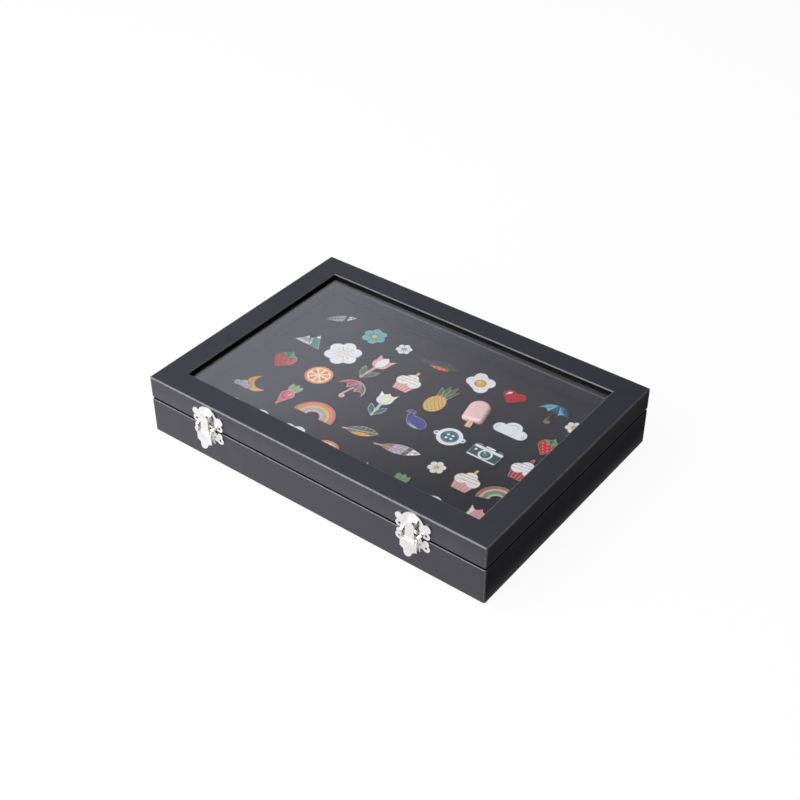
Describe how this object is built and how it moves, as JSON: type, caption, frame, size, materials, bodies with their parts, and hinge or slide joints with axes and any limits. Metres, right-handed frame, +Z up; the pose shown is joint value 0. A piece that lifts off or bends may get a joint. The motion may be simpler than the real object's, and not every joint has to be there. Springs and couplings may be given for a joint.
{
  "type": "enamel pin display case",
  "caption": "Shallow black leatherette box with a hinged glazed lid, nickel duck-bill clasps and a felt pad holding enamel pins.",
  "frame": {"origin": "centre of the underside, on the surface that the case stands on", "axes": "+X along the front to the viewer's right, -Y out of the front with the clasps, +Z up"},
  "size_m": [0.3, 0.221, 0.05],
  "materials": {
    "leatherette": "satin",
    "board": "matte",
    "beading": "satin",
    "foam": "matte",
    "felt": "matte",
    "glass": "polished",
    "nickel": "polished",
    "pin_metal": "polished"
  },
  "bodies": {
    "base": {"base_wall_front": "board", "base_wall_back": "board", "base_wall_left": "board", "base_wall_right": "board", "base_floor": "board", "base_wrap": "leatherette", "base_underside_sheet": "leatherette", "foam_pad": "foam", "felt_cover": "felt", "hinge_base_leaf_left": "nickel", "hinge_base_leaf_right": "nickel", "hinge_pins": "nickel", "clasp_plate_left": "nickel", "clasp_plate_right": "nickel", "lever_rivets": "nickel", "pin_feather": "pin_metal", "pin_daisy": "pin_metal", "pin_leaf": "pin_metal", "pin_egg": "pin_metal", "pin_heart": "pin_metal", "pin_umbrella": "pin_metal", "pin_mountain": "pin_metal", "pin_tulip": "pin_metal", "pin_cupcake": "pin_metal", "pin_pineapple": "pin_metal", "pin_cloud": "pin_metal", "pin_strawberry": "pin_metal", "pin_citrus": "pin_metal", "pin_whale": "pin_metal", "pin_button": "pin_metal", "pin_camera": "pin_metal", "pin_moon": "pin_metal", "pin_radish": "pin_metal", "pin_rainbow": "pin_metal", "pin_lolly": "pin_metal"},
    "lid": {"lid_wall_front": "board", "lid_wall_back": "board", "lid_wall_left": "board", "lid_wall_right": "board", "lid_rail_front": "board", "lid_rail_back": "board", "lid_rail_left": "board", "lid_rail_right": "board", "lid_wrap": "leatherette", "glass_pane": "glass", "glass_beads_long": "beading", "glass_beads_short": "beading", "hinge_lid_leaf_left": "nickel", "hinge_lid_leaf_right": "nickel", "clasp_keeper_left": "nickel", "clasp_keeper_right": "nickel"},
    "lever_left": {"clasp_lever_left": "nickel", "clasp_link_pin_left": "nickel"},
    "link_left": {"clasp_link_left": "nickel"},
    "lever_right": {"clasp_lever_right": "nickel", "clasp_link_pin_right": "nickel"},
    "link_right": {"clasp_link_right": "nickel"}
  },
  "joints": [
    {"name": "lid_hinge", "type": "hinge", "parent": "base", "child": "lid", "pos_m": [0, 0.1067, 0.031], "axis": [-1, 0, 0], "range_deg": [0, 100]},
    {"name": "lever_left_pivot", "type": "hinge", "parent": "base", "child": "lever_left", "pos_m": [-0.092, -0.108, 0.033], "axis": [-1, 0, 0], "range_deg": [0, 95]},
    {"name": "link_left_pivot", "type": "hinge", "parent": "lever_left", "child": "link_left", "pos_m": [-0.092, -0.1082, 0.029], "axis": [-1, 0, 0], "range_deg": [-76, 0]},
    {"name": "lever_right_pivot", "type": "hinge", "parent": "base", "child": "lever_right", "pos_m": [0.092, -0.108, 0.033], "axis": [-1, 0, 0], "range_deg": [0, 95]},
    {"name": "link_right_pivot", "type": "hinge", "parent": "lever_right", "child": "link_right", "pos_m": [0.092, -0.1082, 0.029], "axis": [-1, 0, 0], "range_deg": [-76, 0]}
  ],
  "couplings": [
    {"joint": "link_left_pivot", "follows": "lever_left_pivot", "ratio": -0.8},
    {"joint": "link_right_pivot", "follows": "lever_right_pivot", "ratio": -0.8}
  ]
}
